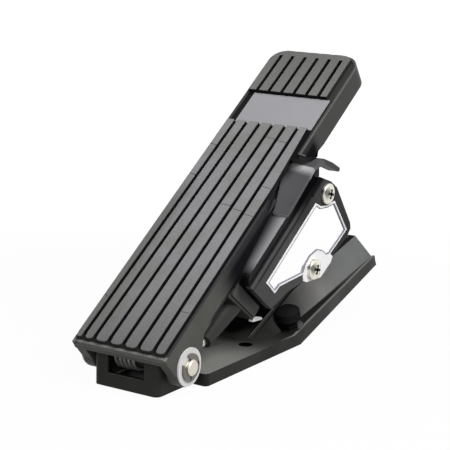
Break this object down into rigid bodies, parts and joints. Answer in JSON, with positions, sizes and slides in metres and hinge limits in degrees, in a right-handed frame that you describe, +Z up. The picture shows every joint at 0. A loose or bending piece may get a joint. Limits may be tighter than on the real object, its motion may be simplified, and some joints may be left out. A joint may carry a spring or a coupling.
{
  "type": "accelerator pedal",
  "caption": "Floor-hinged accelerator pedal: long ribbed treadle with a return spring, side bracket with a windowed cheek and a sensor, on a cast base with a rising toe arm.",
  "frame": {"origin": "on the underside of the base, straight below the hinge pin, at mid width", "axes": "+X to the right of the driver, +Y from heel to toe, +Z up from the floor"},
  "size_m": [0.084, 0.2632, 0.1884],
  "materials": {
    "base_paint": "satin black paint on a casting",
    "pin_steel": "turned steel",
    "washer_plastic": "white moulded washer",
    "clip_steel": "pressed spring steel",
    "spring_steel": "oiled spring wire",
    "sleeve_plastic": "black moulding",
    "buffer_rubber": "moulded rubber",
    "stud_steel": "blackened steel",
    "ring_rubber": "moulded rubber",
    "treadle_paint": "satin black paint",
    "pad_rubber": "dark grey moulded rubber",
    "badge_grey": "plain grey plate",
    "bush_plastic": "black bearing plastic",
    "bracket_paint": "satin black paint",
    "liner_metal": "bright plated metal",
    "screw_nickel": "nickel plate",
    "flange_screw_steel": "zinc plate",
    "strap_paint": "satin dark grey paint",
    "sensor_plastic": "black moulding",
    "cover_plastic": "black moulding",
    "boot_rubber": "soft rubber",
    "nipple_metal": "plated metal",
    "lip_metal": "bright plated metal"
  },
  "bodies": {
    "base": {"base_casting": "base_paint", "hinge_pin": "pin_steel", "pin_washers": "washer_plastic", "retaining_clips": "clip_steel", "return_spring": "spring_steel", "spring_sleeve": "sleeve_plastic", "buffer_head": "buffer_rubber", "buffer_stud": "stud_steel", "buffer_ring": "ring_rubber"},
    "treadle": {"treadle_shell": "treadle_paint", "tread_pad": "pad_rubber", "badge_plate": "badge_grey", "hinge_bushes": "bush_plastic", "bracket_frame": "bracket_paint", "window_liner": "liner_metal", "bracket_screws": "screw_nickel", "flange_screws": "flange_screw_steel", "support_strap": "strap_paint", "sensor_body": "sensor_plastic", "sensor_cover": "cover_plastic", "sensor_boot": "boot_rubber", "lead_nipple": "nipple_metal", "sensor_clip": "lip_metal"}
  },
  "joints": [
    {"name": "treadle_hinge", "type": "hinge", "parent": "base", "child": "treadle", "pos_m": [0, 0, 0.018], "axis": [-1, 0, 0], "range_deg": [0, 10], "stiffness_Nm_per_rad": 4, "springref_deg": -34.38, "deforming": ["return_spring"]}
  ]
}
